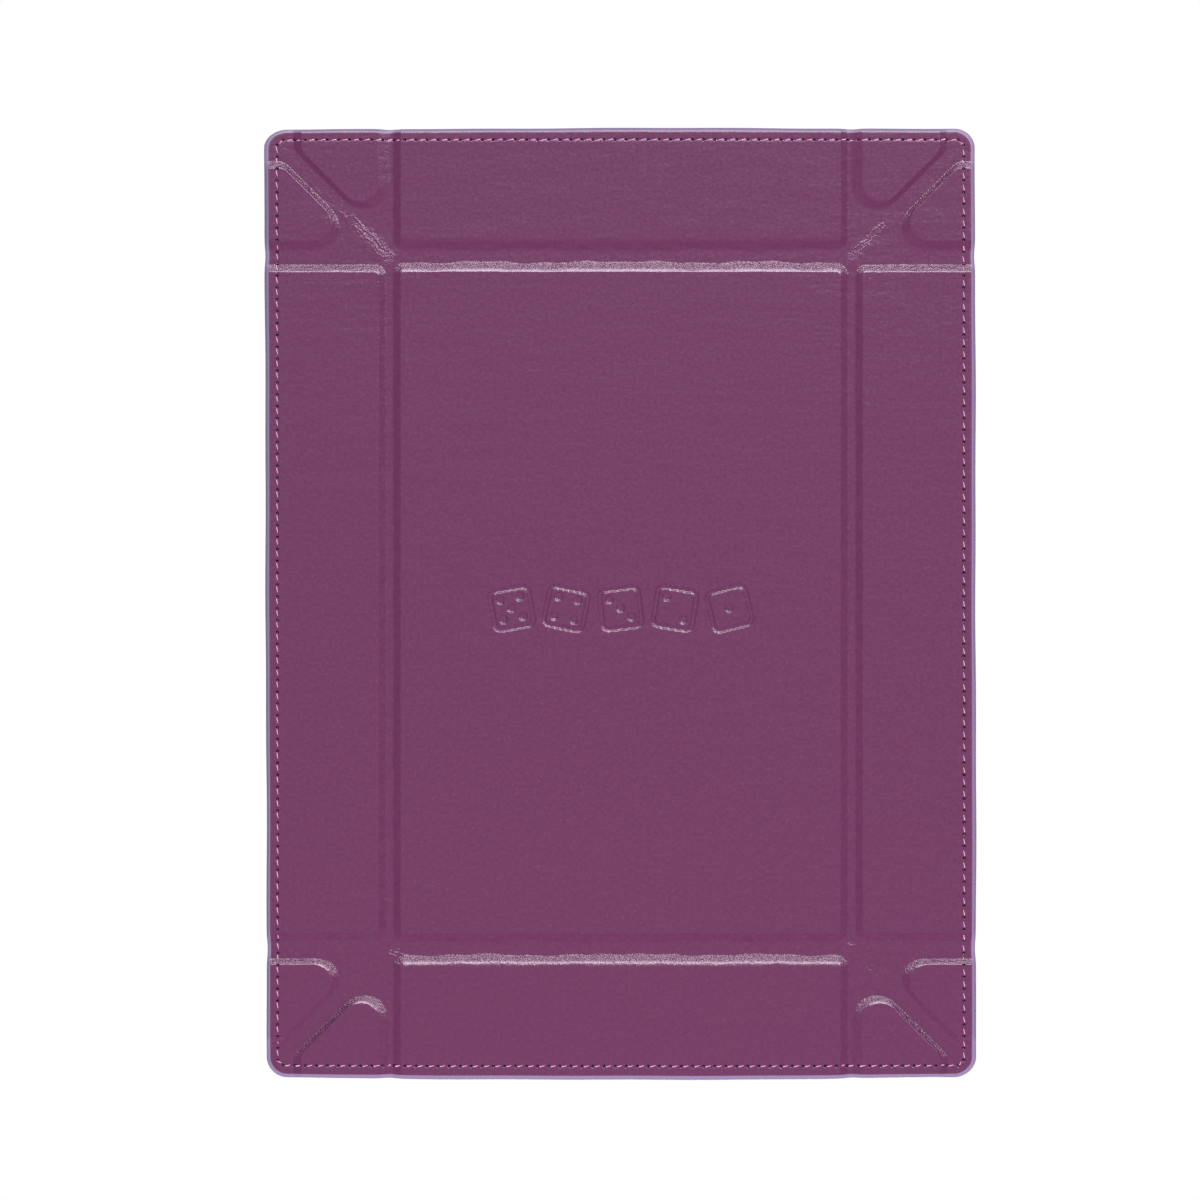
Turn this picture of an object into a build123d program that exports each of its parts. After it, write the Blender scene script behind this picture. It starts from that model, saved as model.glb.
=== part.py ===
"""Folding dice tray: a leatherette sheet and a lining over thirteen stiff boards.

The tray lies flat and open. The outer leatherette is down at z = 0, the playing
side is up, and the long side runs along Y. Four walls fold up about the creases
round the centre board. Each corner is a pair of triangular flaps that pinch
together along a diagonal crease, and a magnet in each flap holds the pinch.
"""
import os
from math import sqrt

from build123d import *

# ---- Sheet, in millimetres ----
sheet_width = 213.0             # along X
sheet_length = 286.0            # along Y
sheet_corner_radius = 6.0

# ---- Layers ----
leather_thickness = 0.9
board_thickness = 1.8
lining_thickness = 0.8
board_bottom = leather_thickness
board_top = board_bottom + board_thickness
sheet_top = board_top + lining_thickness
seam_height = 1.8               # where leatherette and lining meet beside a board
channel_top = seam_height + lining_thickness

# ---- Boards ----
centre_width = 132.2
centre_length = 199.0
side_channel = 7.1              # gap between the centre board and the side walls
end_channel = 9.7               # gap between the centre board and the end walls
edge_margin = 0.8               # sheet beyond the outer edge of a board
board_corner_radius = 1.0
board_wrap = 0.6                # sheet turned up round the edge of a board

# ---- Corner flaps, measured from the crossing of the two creases ----
diagonal_offset = 5.4           # along X or Y, from the diagonal crease to a flap board
tip_radius = 5.4                # the flap board's corner nearest the crossing
outer_tip_radius = 4.2          # its acute corner at the edge of the sheet

# ---- Fold axes ----
wall_axis_height = channel_top  # the walls fold towards the lining
ear_axis_height = leather_thickness     # the flaps fold back towards the leatherette
pinch_gap = 0.4                 # between the two linings of a pinched corner
ear_height_drop = sheet_top - ear_axis_height
ear_inset = (pinch_gap + (2 - sqrt(2)) * ear_height_drop) / sqrt(2) + sheet_top - wall_axis_height
open_crease_gap = 3.4           # room between a side wall and the flap that meets it

# ---- Magnets ----
magnet_diameter = 8.0
magnet_thickness = 1.6
magnet_clearance = 0.1
magnet_near = 9.9               # from the crossing, across the flap
magnet_far = 23.4               # from the crossing, along the flap

# ---- Stitching ----
stitch_margin = 3.2             # from the edge of the sheet
thread_width = 0.7
thread_height = 0.3
groove_width = 0.8
groove_depth = 0.35

# ---- Positions that follow ----
half_width = sheet_width / 2
half_length = sheet_length / 2
crease_x = (centre_width + side_channel) / 2
crease_y = (centre_length + end_channel) / 2
wall_inner_x = centre_width / 2 + side_channel
wall_inner_y = centre_length / 2 + end_channel
wall_outer_x = half_width - edge_margin
wall_outer_y = half_length - edge_margin
ear_crease_x = crease_x - ear_inset
side_wall_end = crease_y - ear_inset - open_crease_gap / 2
side_flap_start = crease_y - ear_inset + open_crease_gap / 2
stitch_x = half_width - stitch_margin
stitch_y = half_length - stitch_margin

# The sheet's corner lies on the diagonal only nearly, so the corner point is named.
diagonal_end = half_width - crease_x


def export_piece(piece, node_name):
    piece.part.label = node_name
    export_step(piece.part, f"parts/{node_name}.step")


# ---- Outlines ----
def rectangle_outline(x_low, x_high, y_low, y_high, radius):
    with BuildSketch() as outline:
        with Locations(((x_low + x_high) / 2, (y_low + y_high) / 2)):
            RectangleRounded(x_high - x_low, y_high - y_low, radius)
    return outline.sketch


def sheet_area(points, side_x, side_y):
    """The part of the whole sheet inside a polygon given for the back right quarter."""
    with BuildSketch() as area:
        RectangleRounded(sheet_width, sheet_length, sheet_corner_radius)
        Polygon(
            *[(side_x * x, side_y * y) for x, y in points],
            align=None,
            mode=Mode.INTERSECT,
        )
    return area.sketch


def flap_outline(points, side_x, side_y):
    """A triangular flap board, rounded at the crossing and at the sheet's edge."""
    crossing = (side_x * crease_x, side_y * crease_y)
    with BuildSketch() as outline:
        Polygon(*[(side_x * x, side_y * y) for x, y in points], align=None)
        tip = outline.vertices().sort_by_distance(crossing)[0]
        fillet(tip, tip_radius)
        outer_tip = outline.vertices().sort_by_distance((side_x * half_width, side_y * half_length))[0]
        fillet(outer_tip, outer_tip_radius)
    return outline.sketch


# ---- Pieces ----
def build_board(name, outline, magnet_at=None):
    with BuildPart() as board:
        with BuildSketch(Plane.XY.offset(board_bottom)):
            add(outline)
        extrude(amount=board_thickness)
        if magnet_at:
            with Locations((*magnet_at, board_top)):
                Hole(magnet_diameter / 2 + magnet_clearance)
    export_piece(board, f"board_{name}")


def build_skin(name, outline, area, face_height, seam, channel, groove, stitch_run):
    """One face of a panel: a dish round half of the board and the strips beside it.

    face_height is the flat outer face, seam the plane where the two skins meet,
    channel the outer face of the strip, and groove the floor of the stitch groove.
    """
    board_face = board_bottom if face_height < seam else board_top
    with BuildPart() as skin:
        with BuildSketch(Plane.XY.offset(seam)):
            add(area)
        extrude(amount=channel - seam)
        with BuildSketch(Plane.XY.offset(seam)):
            add(outline)
            offset(amount=board_wrap)
            add(area, mode=Mode.INTERSECT)
        extrude(amount=face_height - seam)
        with BuildSketch(Plane.XY.offset(seam)):
            add(outline)
        extrude(amount=board_face - seam, mode=Mode.SUBTRACT)
        if stitch_run:
            with BuildSketch(Plane.XY.offset(groove)):
                stitch_strip(stitch_run, groove_width)
            extrude(amount=face_height - groove, mode=Mode.SUBTRACT)
    export_piece(skin, name)


def stitch_strip(stitch_run, width):
    """A straight strip from the start to the end of a stitch run, in the sketch that is open."""
    (x_start, y_start), (x_end, y_end) = stitch_run
    with Locations(((x_start + x_end) / 2, (y_start + y_end) / 2)):
        Rectangle(max(abs(x_end - x_start), width), max(abs(y_end - y_start), width))


def build_thread(name, stitch_run):
    with BuildPart() as thread:
        with BuildSketch(Plane.XY.offset(groove_depth)):
            stitch_strip(stitch_run, thread_width)
        extrude(amount=-thread_height)
        with BuildSketch(Plane.XY.offset(sheet_top - groove_depth)):
            stitch_strip(stitch_run, thread_width)
        extrude(amount=thread_height)
    export_piece(thread, f"thread_{name}")


def build_magnet(name, magnet_at):
    with BuildPart() as magnet:
        with BuildSketch(Plane.XY.offset(board_bottom + (board_thickness - magnet_thickness) / 2)):
            with Locations(magnet_at):
                Circle(magnet_diameter / 2)
        extrude(amount=magnet_thickness)
    export_piece(magnet, f"magnet_{name}")


def build_panel(name, outline, area, stitch_run=None, magnet_at=None):
    build_board(name, outline, magnet_at)
    build_skin(
        f"cover_{name}", outline, area, 0, seam_height, leather_thickness, groove_depth, stitch_run
    )
    build_skin(
        f"lining_{name}", outline, area, sheet_top, seam_height, channel_top,
        sheet_top - groove_depth, stitch_run,
    )
    if stitch_run:
        build_thread(name, stitch_run)
    if magnet_at:
        build_magnet(name, magnet_at)


# ---- Centre and walls ----
def build_centre():
    outline = rectangle_outline(
        -centre_width / 2, centre_width / 2, -centre_length / 2, centre_length / 2, board_corner_radius
    )
    area = sheet_area(
        [(-crease_x, -crease_y), (crease_x, -crease_y), (crease_x, crease_y), (-crease_x, crease_y)], 1, 1
    )
    build_panel("centre", outline, area)


def build_end_wall(name, side_y):
    y_low, y_high = sorted((side_y * wall_inner_y, side_y * wall_outer_y))
    outline = rectangle_outline(-centre_width / 2, centre_width / 2, y_low, y_high, board_corner_radius)
    area = sheet_area(
        [
            (-ear_crease_x, crease_y),
            (ear_crease_x, crease_y),
            (ear_crease_x, half_length),
            (-ear_crease_x, half_length),
        ],
        1,
        side_y,
    )
    stitch_run = ((-centre_width / 2, side_y * stitch_y), (centre_width / 2, side_y * stitch_y))
    build_panel(name, outline, area, stitch_run)


def build_side_wall(name, side_x):
    x_low, x_high = sorted((side_x * wall_inner_x, side_x * wall_outer_x))
    outline = rectangle_outline(x_low, x_high, -centre_length / 2, centre_length / 2, board_corner_radius)
    area = sheet_area(
        [
            (crease_x, -side_wall_end),
            (half_width, -side_wall_end),
            (half_width, side_wall_end),
            (crease_x, side_wall_end),
        ],
        side_x,
        1,
    )
    stitch_run = ((side_x * stitch_x, -centre_length / 2), (side_x * stitch_x, centre_length / 2))
    build_panel(name, outline, area, stitch_run)


# ---- Corner flaps ----
def build_end_flap(name, side_x, side_y):
    """The flap at the end of a back or front wall."""
    rise = wall_outer_y - crease_y - diagonal_offset
    outline = flap_outline(
        [
            (wall_inner_x, crease_y + wall_inner_x - crease_x + diagonal_offset),
            (crease_x + rise, wall_outer_y),
            (wall_inner_x, wall_outer_y),
        ],
        side_x,
        side_y,
    )
    area = sheet_area(
        [
            (ear_crease_x, crease_y),
            (crease_x, crease_y),
            (crease_x + diagonal_end, crease_y + diagonal_end),
            (half_width, half_length),
            (ear_crease_x, half_length),
        ],
        side_x,
        side_y,
    )
    run_end = crease_x + rise - sqrt(2) * outer_tip_radius
    stitch_run = ((side_x * wall_inner_x, side_y * stitch_y), (side_x * run_end, side_y * stitch_y))
    magnet_at = (side_x * (crease_x + magnet_near), side_y * (crease_y + magnet_far))
    build_panel(name, outline, area, stitch_run, magnet_at)


def build_side_flap(name, side_x, side_y):
    """The flap at the end of a right or left wall."""
    reach = wall_outer_x - crease_x - diagonal_offset
    outline = flap_outline(
        [
            (crease_x + wall_inner_y - crease_y + diagonal_offset, wall_inner_y),
            (wall_outer_x, wall_inner_y),
            (wall_outer_x, crease_y + reach),
        ],
        side_x,
        side_y,
    )
    area = sheet_area(
        [
            (crease_x, crease_y),
            (crease_x, side_flap_start),
            (half_width, side_flap_start),
            (crease_x + diagonal_end, crease_y + diagonal_end),
        ],
        side_x,
        side_y,
    )
    run_end = crease_y + reach - sqrt(2) * outer_tip_radius
    stitch_run = ((side_x * stitch_x, side_y * wall_inner_y), (side_x * stitch_x, side_y * run_end))
    magnet_at = (side_x * (crease_x + magnet_far), side_y * (crease_y + magnet_near))
    build_panel(name, outline, area, stitch_run, magnet_at)


os.makedirs("parts", exist_ok=True)
build_centre()
for end_name, end_side in (("back", 1), ("front", -1)):
    build_end_wall(end_name, end_side)
    for flank_name, flank_side in (("right", 1), ("left", -1)):
        build_end_flap(f"{end_name}_flap_{flank_name}", flank_side, end_side)
        build_side_flap(f"{flank_name}_flap_{end_name}", flank_side, end_side)
for flank_name, flank_side in (("right", 1), ("left", -1)):
    build_side_wall(flank_name, flank_side)
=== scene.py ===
"""Looks of the folding dice tray: leatherette, lining, stitching, boards and magnets.

The tray lies open with its leatherette face down at z = 0 and its long side along Y.
Both skins follow one relief: raised over each board, low in the channels between them.
Each skin is cut into patches, so that every patch rides on one body or lies across
one joint; a patch across a joint is left where it is set and does not bend. Near a corner,
places are given from the crossing of the two creases: u and v run outwards from it
along X and Y, and the pinch crease runs along u = v.
"""

import math

import bpy
import numpy as np
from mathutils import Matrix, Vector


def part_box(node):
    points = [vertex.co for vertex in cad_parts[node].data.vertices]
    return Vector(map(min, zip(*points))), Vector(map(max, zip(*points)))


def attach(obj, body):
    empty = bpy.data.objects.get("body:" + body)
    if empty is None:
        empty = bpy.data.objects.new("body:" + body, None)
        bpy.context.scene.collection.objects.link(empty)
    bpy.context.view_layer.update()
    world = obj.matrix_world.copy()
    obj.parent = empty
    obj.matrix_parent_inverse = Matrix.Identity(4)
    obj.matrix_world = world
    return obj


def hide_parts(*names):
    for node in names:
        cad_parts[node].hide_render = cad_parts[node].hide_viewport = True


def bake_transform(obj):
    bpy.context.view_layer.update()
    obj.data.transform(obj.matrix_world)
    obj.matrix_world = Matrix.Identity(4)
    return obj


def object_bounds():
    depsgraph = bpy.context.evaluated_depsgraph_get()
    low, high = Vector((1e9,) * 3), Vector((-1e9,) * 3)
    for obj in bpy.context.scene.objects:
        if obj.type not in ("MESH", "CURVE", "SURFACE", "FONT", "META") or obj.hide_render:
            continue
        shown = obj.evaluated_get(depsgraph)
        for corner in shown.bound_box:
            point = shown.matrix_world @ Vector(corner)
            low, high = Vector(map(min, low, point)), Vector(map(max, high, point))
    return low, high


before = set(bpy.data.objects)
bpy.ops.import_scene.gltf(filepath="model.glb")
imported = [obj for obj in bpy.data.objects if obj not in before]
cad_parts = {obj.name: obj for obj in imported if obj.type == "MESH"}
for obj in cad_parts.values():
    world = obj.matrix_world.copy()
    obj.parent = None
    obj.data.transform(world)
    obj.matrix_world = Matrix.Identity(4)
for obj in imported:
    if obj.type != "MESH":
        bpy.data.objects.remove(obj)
cad_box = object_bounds()

MM = 0.001
ROOT2 = math.sqrt(2)
ENDS = (("back", 1), ("front", -1))
FLANKS = (("right", 1), ("left", -1))
CORNERS = [(end, flank, sx, sy) for end, sy in ENDS for flank, sx in FLANKS]

# ---- Places that the frame gives ----
centre_low, centre_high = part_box("board_centre")
side_low, side_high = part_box("board_right")
end_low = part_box("board_back")[0]
half_width, half_length, sheet_top = cad_box[1]
crease_x = (centre_high.x + side_low.x) / 2
crease_y = (centre_high.y + end_low.y) / 2
leather_thickness = centre_low.z
lining_thickness = sheet_top - centre_high.z

# ---- Layers and creases ----
seam_height = 1.8 * MM          # where the two skins meet beside a board
channel_top = seam_height + lining_thickness
edge_bottom = 1.45 * MM         # the rounded rim's side wall, from here up to
edge_top = 2.15 * MM            # here
closing_start = 0.8 * MM        # from the outline, where the back faces turn to the seam
closing_width = 0.5 * MM
sheet_corner = 6.0 * MM
rim_width = 1.4 * MM
board_corner = 1.0 * MM
wall_axis_height = channel_top
ear_inset = 2.26 * MM           # from the crossing to the crease between a wall and its flap
side_wall_end = crease_y - ear_inset
diagonal_offset = 5.4 * MM      # along X or Y, from the pinch crease to a flap board
tip_radius = 5.4 * MM           # the flap board's corner nearest the crossing
outer_tip_radius = 3.0 * MM     # its corner at the edge of the sheet
flap_end = 36.0 * MM
ear_bend_start = -2.85 * MM

# ---- Slopes beside the boards ----
end_slope = 3.3 * MM            # across an edge that runs along X
side_wall_slope = 2.5 * MM      # the same at a side wall, which ends before its flap's crease
side_slope = 2.8 * MM           # across an edge that runs along Y
pinch_slope = 1.7 * MM          # across an edge that faces the pinch crease
flap_side_slope = 4.2 * MM      # across a flap board's edge that runs along Y
front_flap_slope = 2.0 * MM     # across a front side flap's edge that faces its wall

# ---- Stitching ----
stitch_margin_side = 3.2 * MM
stitch_margin_end = 3.5 * MM
stitch_x = half_width - stitch_margin_side
stitch_y = half_length - stitch_margin_end
stitch_turn = 1.6 * MM          # cut off each corner by one slanted stitch
stitches_on_wall = 57
stitches_on_flap = 10
stitches_on_end = 61
hole_radius = 0.36 * MM
hole_depth = 0.6 * MM
pull_depth = 0.06 * MM          # of the line along the thread
pull_half = 0.4 * MM
thread_radius = 0.19 * MM
stitch_slant = 0.18 * MM
stitch_lift = 0.12 * MM         # of its middle line, into the face
stitch_dive = 0.55 * MM         # at each hole

# ---- Patches ----
seam_inset = 0.7 * MM           # patches meet this far inside a board's edge
flap_seam = diagonal_offset + seam_inset * ROOT2
inner_u = centre_high.x - seam_inset - crease_x
inner_v = centre_high.y - seam_inset - crease_y
outer_seam = flap_seam - ear_inset
flap_u = side_low.x + seam_inset - crease_x
patch_end = 38 * MM             # further out than any flap's patch

# ---- Steps of the grids ----
coarse = 1.6 * MM
medium = 0.45 * MM
fine = 0.3 * MM
pinch_step = 0.22 * MM
ear_step = 0.35 * MM
stitch_row_step = 0.15 * MM
slope_step_x = 0.25 * MM
slope_step_y = 0.24 * MM
motif_step = 0.36 * MM
rim_offsets = np.array([1.6, 1.3, 1.1, 0.9, 0.7, 0.52, 0.36, 0.22, 0.1, 0.03, 0.0]) * MM


# ---- Relief ----
def unit(values):
    """The values held between 0 and 1."""
    return np.clip(values, 0, 1)


def inside_rounded(x, y, half_x, half_y, corner):
    """How far inside the outline of a rounded rectangle about 0."""
    across_x = np.abs(x) - (half_x - corner)
    across_y = np.abs(y) - (half_y - corner)
    outside = np.hypot(np.maximum(across_x, 0), np.maximum(across_y, 0))
    return corner - outside - np.minimum(np.maximum(across_x, across_y), 0)


def ramp(t):
    """1 up to t = 0, falling to 0 at t = 1, with a tight top bend and an easy foot."""
    top, foot = 0.12, 0.25
    steepness = 1 / (1 - (top + foot) / 2)
    t = unit(t)
    first = t ** 2 / (2 * top) * steepness
    last = 1 - (1 - t) ** 2 / (2 * foot) * steepness
    middle = (t - top / 2) * steepness
    return 1 - np.where(t < top, first, np.where(t > 1 - foot, last, middle))


def share_along(across_x, across_y, direction):
    """The cosine between a vector and a direction, and 0 for no vector."""
    length = np.maximum(np.hypot(across_x, across_y), 1e-9)
    return (across_x * direction[0] + across_y * direction[1]) / length


def rectangle_relief(x, y, x_low, x_high, y_low, y_high, end_width):
    across_x = np.maximum(np.maximum(x_low - x, x - x_high) + board_corner, 0)
    across_y = np.maximum(np.maximum(y_low - y, y - y_high) + board_corner, 0)
    width = side_slope + (end_width - side_slope) * share_along(across_x, across_y, (0, 1)) ** 2
    return ramp((np.hypot(across_x, across_y) - board_corner) / width)


def flap_relief(p, q, near, p_slope, q_slope):
    """Relief of a flap board: p runs out from the crossing along its board, q across it."""
    tip_q = near + tip_radius
    tip_p = tip_q + diagonal_offset + tip_radius * ROOT2
    end_p = flap_end - outer_tip_radius
    end_q = end_p - diagonal_offset - outer_tip_radius * ROOT2
    at_tip = (p < tip_p) & (p - tip_p + q - tip_q < 0)
    at_end = (q > end_q) & (p - end_p + q - end_q > 0)
    edge = np.maximum(near - q, (q - p + diagonal_offset) / ROOT2)
    beside = near - q >= edge
    across_q = np.where(beside, -edge, edge / ROOT2)
    across_p = np.where(beside, 0 * edge, -edge / ROOT2)
    across_q = np.where(at_tip, q - tip_q, np.where(at_end, q - end_q, across_q))
    across_p = np.where(at_tip, p - tip_p, np.where(at_end, np.minimum(p - end_p, 0), across_p))
    radius = np.where(at_tip, tip_radius, np.where(at_end, outer_tip_radius, 0))
    facing_pinch = np.maximum(share_along(across_q, across_p, (1 / ROOT2, -1 / ROOT2)), 0)
    width = q_slope + (p_slope - q_slope) * share_along(across_q, across_p, (0, 1)) ** 2
    width = width + (pinch_slope - width) * facing_pinch ** 2
    beyond = np.hypot(across_q, across_p) - radius
    inside = (edge <= 0) & ~at_tip & ~at_end
    return np.where(inside, 1, ramp(beyond / width))


def relief(x, y):
    """1 over the boards, 0 in the channels. The boards reach the edge of the sheet here."""
    near_slope = np.where(y > 0, end_slope, front_flap_slope)
    x, y = np.abs(x), np.abs(y)
    u, v = x - crease_x, y - crease_y
    far = 2 * half_length
    uneven = 1 + 0.09 * np.sin(x / MM / 5.3) + 0.06 * np.sin(x / MM / 1.9 + y / MM)
    return np.maximum.reduce([
        rectangle_relief(x, y, -far, centre_high.x, -far, centre_high.y, end_slope * uneven),
        rectangle_relief(x, y, -far, centre_high.x, end_low.y, far, end_slope * uneven),
        rectangle_relief(x, y, side_low.x, far, -far, side_high.y, side_wall_slope),
        flap_relief(v, u, side_low.x - crease_x, end_slope, flap_side_slope),
        flap_relief(u, v, end_low.y - crease_y, flap_side_slope, near_slope),
    ])


def edge_distance(x, y):
    """How far inside the sheet's outline."""
    return inside_rounded(x, y, half_width, half_length, sheet_corner)


def rim(x, y):
    """0 on the flat, rising as a quarter circle to 1 at the outline."""
    t = unit(1 - edge_distance(x, y) / rim_width)
    return 1 - np.sqrt(1 - t ** 2)


# ---- Stitch line ----
# Y of the holes along a side, and X of those along an end.
flap_holes = np.linspace(side_wall_end, stitch_y - stitch_turn, stitches_on_flap + 1)[1:]
wall_holes = np.linspace(-side_wall_end, side_wall_end, stitches_on_wall + 1)
side_holes = np.concatenate([-flap_holes[::-1], wall_holes, flap_holes])
end_holes = np.linspace(stitch_turn - stitch_x, stitch_x - stitch_turn, stitches_on_end + 1)


def nearest(values, lines):
    """Distance from each value to the nearest line."""
    after = np.clip(np.searchsorted(lines, values), 1, len(lines) - 1)
    return np.minimum(np.abs(values - lines[after - 1]), np.abs(values - lines[after]))


def hole_distance(x, y):
    """Distance to the nearest needle hole."""
    beside = np.hypot(np.abs(x) - stitch_x, nearest(y, side_holes))
    return np.minimum(beside, np.hypot(np.abs(y) - stitch_y, nearest(x, end_holes)))


def stitch_distance(x, y):
    """Distance to the stitch line."""
    u, v = np.abs(x) - stitch_x, np.abs(y) - stitch_y
    along_side = np.hypot(u, np.maximum(v + stitch_turn, 0))
    along_end = np.hypot(v, np.maximum(u + stitch_turn, 0))
    corner = np.where(np.abs(u - v) < stitch_turn, np.abs(u + v + stitch_turn) / ROOT2, 1)
    return np.minimum.reduce([along_side, along_end, corner])


def needle_dip(x, y):
    """Depth of the line that the thread pulls into a skin, with a pit at each hole."""
    line = pull_depth * np.exp(-(stitch_distance(x, y) / pull_half) ** 2)
    pit = hole_depth * np.exp(-(hole_distance(x, y) / hole_radius) ** 4)
    return np.maximum(line, pit)


# ---- Heights of the two skins ----
motif_centre_y = -1.7 * MM
motif_pitch = 16.4 * MM
motif_depth = 0.3 * MM
die_half = 5.9 * MM
die_corner = 1.9 * MM
die_turns = (-14, 9, -7, 12, -10)
stroke = 0.42 * MM
pip_radius = 1.0 * MM
pip_step = 3.0 * MM
PIP_CORNERS = ((-1, -1), (1, 1), (-1, 1), (1, -1))


def die_depth(x, y, pips):
    """A die's face pressed into the leatherette: its rounded square outline and its pips."""
    outline = np.abs(inside_rounded(x, y, die_half, die_half, die_corner))
    depth = ramp((outline - stroke) / stroke)
    single = pips % 2
    for step_x, step_y in PIP_CORNERS[:pips - single] + ((0, 0),) * single:
        away = np.hypot(x - step_x * pip_step, y - step_y * pip_step)
        depth = np.maximum(depth, ramp((away - pip_radius) / stroke))
    return depth


def motif(x, y):
    """A row of five dice, pressed into the middle of the tray's outer face."""
    depth = np.zeros_like(x)
    for place, turn in enumerate(die_turns):
        cos, sin = math.cos(math.radians(turn)), math.sin(math.radians(turn))
        away_x = x - (place - 2) * motif_pitch
        away_y = y - motif_centre_y
        die_x, die_y = away_x * cos + away_y * sin, away_y * cos - away_x * sin
        depth = np.maximum(depth, die_depth(die_x, die_y, place + 1))
    return motif_depth * depth


# Ridges beside the pinch crease: place across it, where it starts and ends along it,
# height, width, and the length and share of its wander.
RIDGES = (
    (-0.8, 0.5, 16.0, 0.11, 0.22, 5.0, 0.22),
    (0.6, 0.5, 19.0, 0.12, 0.22, 7.0, 0.3),
    (-1.7, 2.0, 9.0, 0.06, 0.22, 4.0, 0.25),
    (1.8, 5.0, 14.0, 0.05, 0.25, 6.0, 0.35),
    (-1.6, 14.0, 36.0, 0.04, 0.50, 13.0, 0.5),
)

# Small creases in the front channel: place, height, half length and tilt.
WISPS = (
    (67.5, -105.6, 0.13, 1.8, 0.25),
    (66.2, -104.9, 0.1, 1.5, 0.15),
    (68.6, -106.3, 0.09, 1.3, 0.35),
    (-69.2, -103.4, 0.11, 1.6, -0.1),
    (-68.4, -102.7, 0.08, 1.2, 0.05),
)


def ridges(x, y):
    """Height of the leatherette's small folds and creases."""
    u, v = np.abs(x) - crease_x, np.abs(y) - crease_y
    quarter = 1.3 * (x > 0) + 2.1 * (y > 0)
    across, along = (v - u) / ROOT2 / MM, (u + v) / ROOT2 / MM
    height = np.zeros_like(x)
    for place, start, end, tall, wide, period, wander in RIDGES:
        turn = 2 * math.pi * along / period + quarter * 2 + place
        shift = wander * (np.sin(turn) + 0.35 * np.sin(2.7 * turn + 1))
        span = unit((along - start) / 3) * unit((end - along) / 6)
        height += tall * span ** 1.5 * np.exp(-((across - place - shift) / wide) ** 2)
    height = height * crease_wear(x, y)
    for place_x, place_y, tall, reach, tilt in WISPS:
        across = y / MM - place_y - tilt * (x / MM - place_x)
        height += tall * np.exp(-(across / 0.22) ** 2 - ((x / MM - place_x) / reach) ** 2)
    return height * MM


magnet_boxes = [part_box(f"magnet_{name}") for name in ("back_flap_right", "right_flap_back")]
magnet_places = [(low + high) / 2 for low, high in magnet_boxes]
magnet_radius = (magnet_boxes[1][1].x - magnet_boxes[1][0].x) / 2
magnet_swell = 0.03 * MM
magnet_edge = 1.2 * MM


def magnet_ring(x, y):
    """1 over a magnet, 0 away from it."""
    away = np.minimum.reduce([
        np.hypot(np.abs(x) - place.x, np.abs(y) - place.y) for place in magnet_places
    ])
    return ramp((away - magnet_radius) / magnet_edge)


def leather_height(x, y):
    """Outer face of the leatherette."""
    over = relief(x, y)
    face = leather_thickness * (1 - over)
    face = face - ridges(x, y) * (1 - over) - magnet_swell * magnet_ring(x, y)
    face = face + motif(x, y) + needle_dip(x, y)
    return face + (edge_bottom - face) * rim(x, y)


def closed_at_edge(face, x, y):
    """A back face turned to the seam near the outline."""
    closing = unit((closing_start - edge_distance(x, y)) / closing_width)
    return face + (seam_height - face) * closing


def leather_back(x, y):
    face = np.minimum(leather_thickness * (2 - relief(x, y)), seam_height)
    return closed_at_edge(face, x, y)


def lining_height(x, y):
    """Outer face of the lining."""
    face = channel_top + (sheet_top - channel_top) * relief(x, y)
    face = face - needle_dip(x, y)
    return face + (edge_top - face) * rim(x, y)


def lining_back(x, y):
    return closed_at_edge(seam_height + (sheet_top - channel_top) * relief(x, y), x, y)


trim_reach = 7 * MM             # from the outline
notch_depth = 0.3 * MM          # in the outline, at each crease
notch_half_side = 3.2 * MM
notch_half_end = 2.6 * MM
bulge_half = 95 * MM


def trimmed(x, y):
    """The cut edge's small unevenness: points near the outline move in or out a little."""
    near_side = unit(1 - (half_width - np.abs(x)) / trim_reach) ** 2
    near_end = unit(1 - (half_length - np.abs(y)) / trim_reach) ** 2
    notch_side = notch_depth * np.exp(-((np.abs(y) - crease_y) / notch_half_side) ** 2)
    notch_end = notch_depth * np.exp(-((np.abs(x) - crease_x) / notch_half_end) ** 2)
    wave_side = np.sin(y / MM / 19 + 1.7 * np.sign(x)) + 0.6 * np.sin(y / MM / 7.3 + np.sign(x))
    wave_end = np.sin(x / MM / 17 + 2.3 * np.sign(y)) + 0.6 * np.sin(x / MM / 6.1 + np.sign(y))
    bulge = unit(1 - (x / bulge_half) ** 2)
    shift_x = 0.09 * MM * wave_side - notch_side + np.where(x > 0, 0.5, 0.6) * MM
    shift_x = shift_x + y * np.where(x > 0, 0.003, -0.0015)
    shift_y = 0.08 * MM * wave_end - notch_end
    shift_y = shift_y + np.where(y > 0, -0.3 - 1.5 * x, 0.2) * MM
    shift_y = shift_y + np.where(y > 0, 0.35, 0.8) * MM * bulge
    return x + np.sign(x) * shift_x * near_side, y + np.sign(y) * shift_y * near_end


# ---- Patches of skin ----
crumple_half = 2.2 * MM         # across the pinch crease
crumple_start = 3 * MM          # before the crossing, along it
crumple_fade = 12 * MM
worn_offset = 6 * MM            # of the worn area's middle from the crossing
worn_reach = 22 * MM
probe = 0.05 * MM               # for a face's slope


def grid_lines(low, high, step, *closer):
    """Grid lines from low to high, closer together in each stretch (start, end, step)."""
    lines = np.linspace(low, high, max(2, round((high - low) / step) + 1))
    for start, end, near_step in closer:
        start, end = max(start, low), min(end, high)
        if end <= start:
            continue
        lines = lines[(lines < start - 0.3 * near_step) | (lines > end + 0.3 * near_step)]
        lines = np.append(lines, np.linspace(start, end, round((end - start) / near_step) + 2))
    return np.unique(np.append(lines, (low, high)).round(8))


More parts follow.
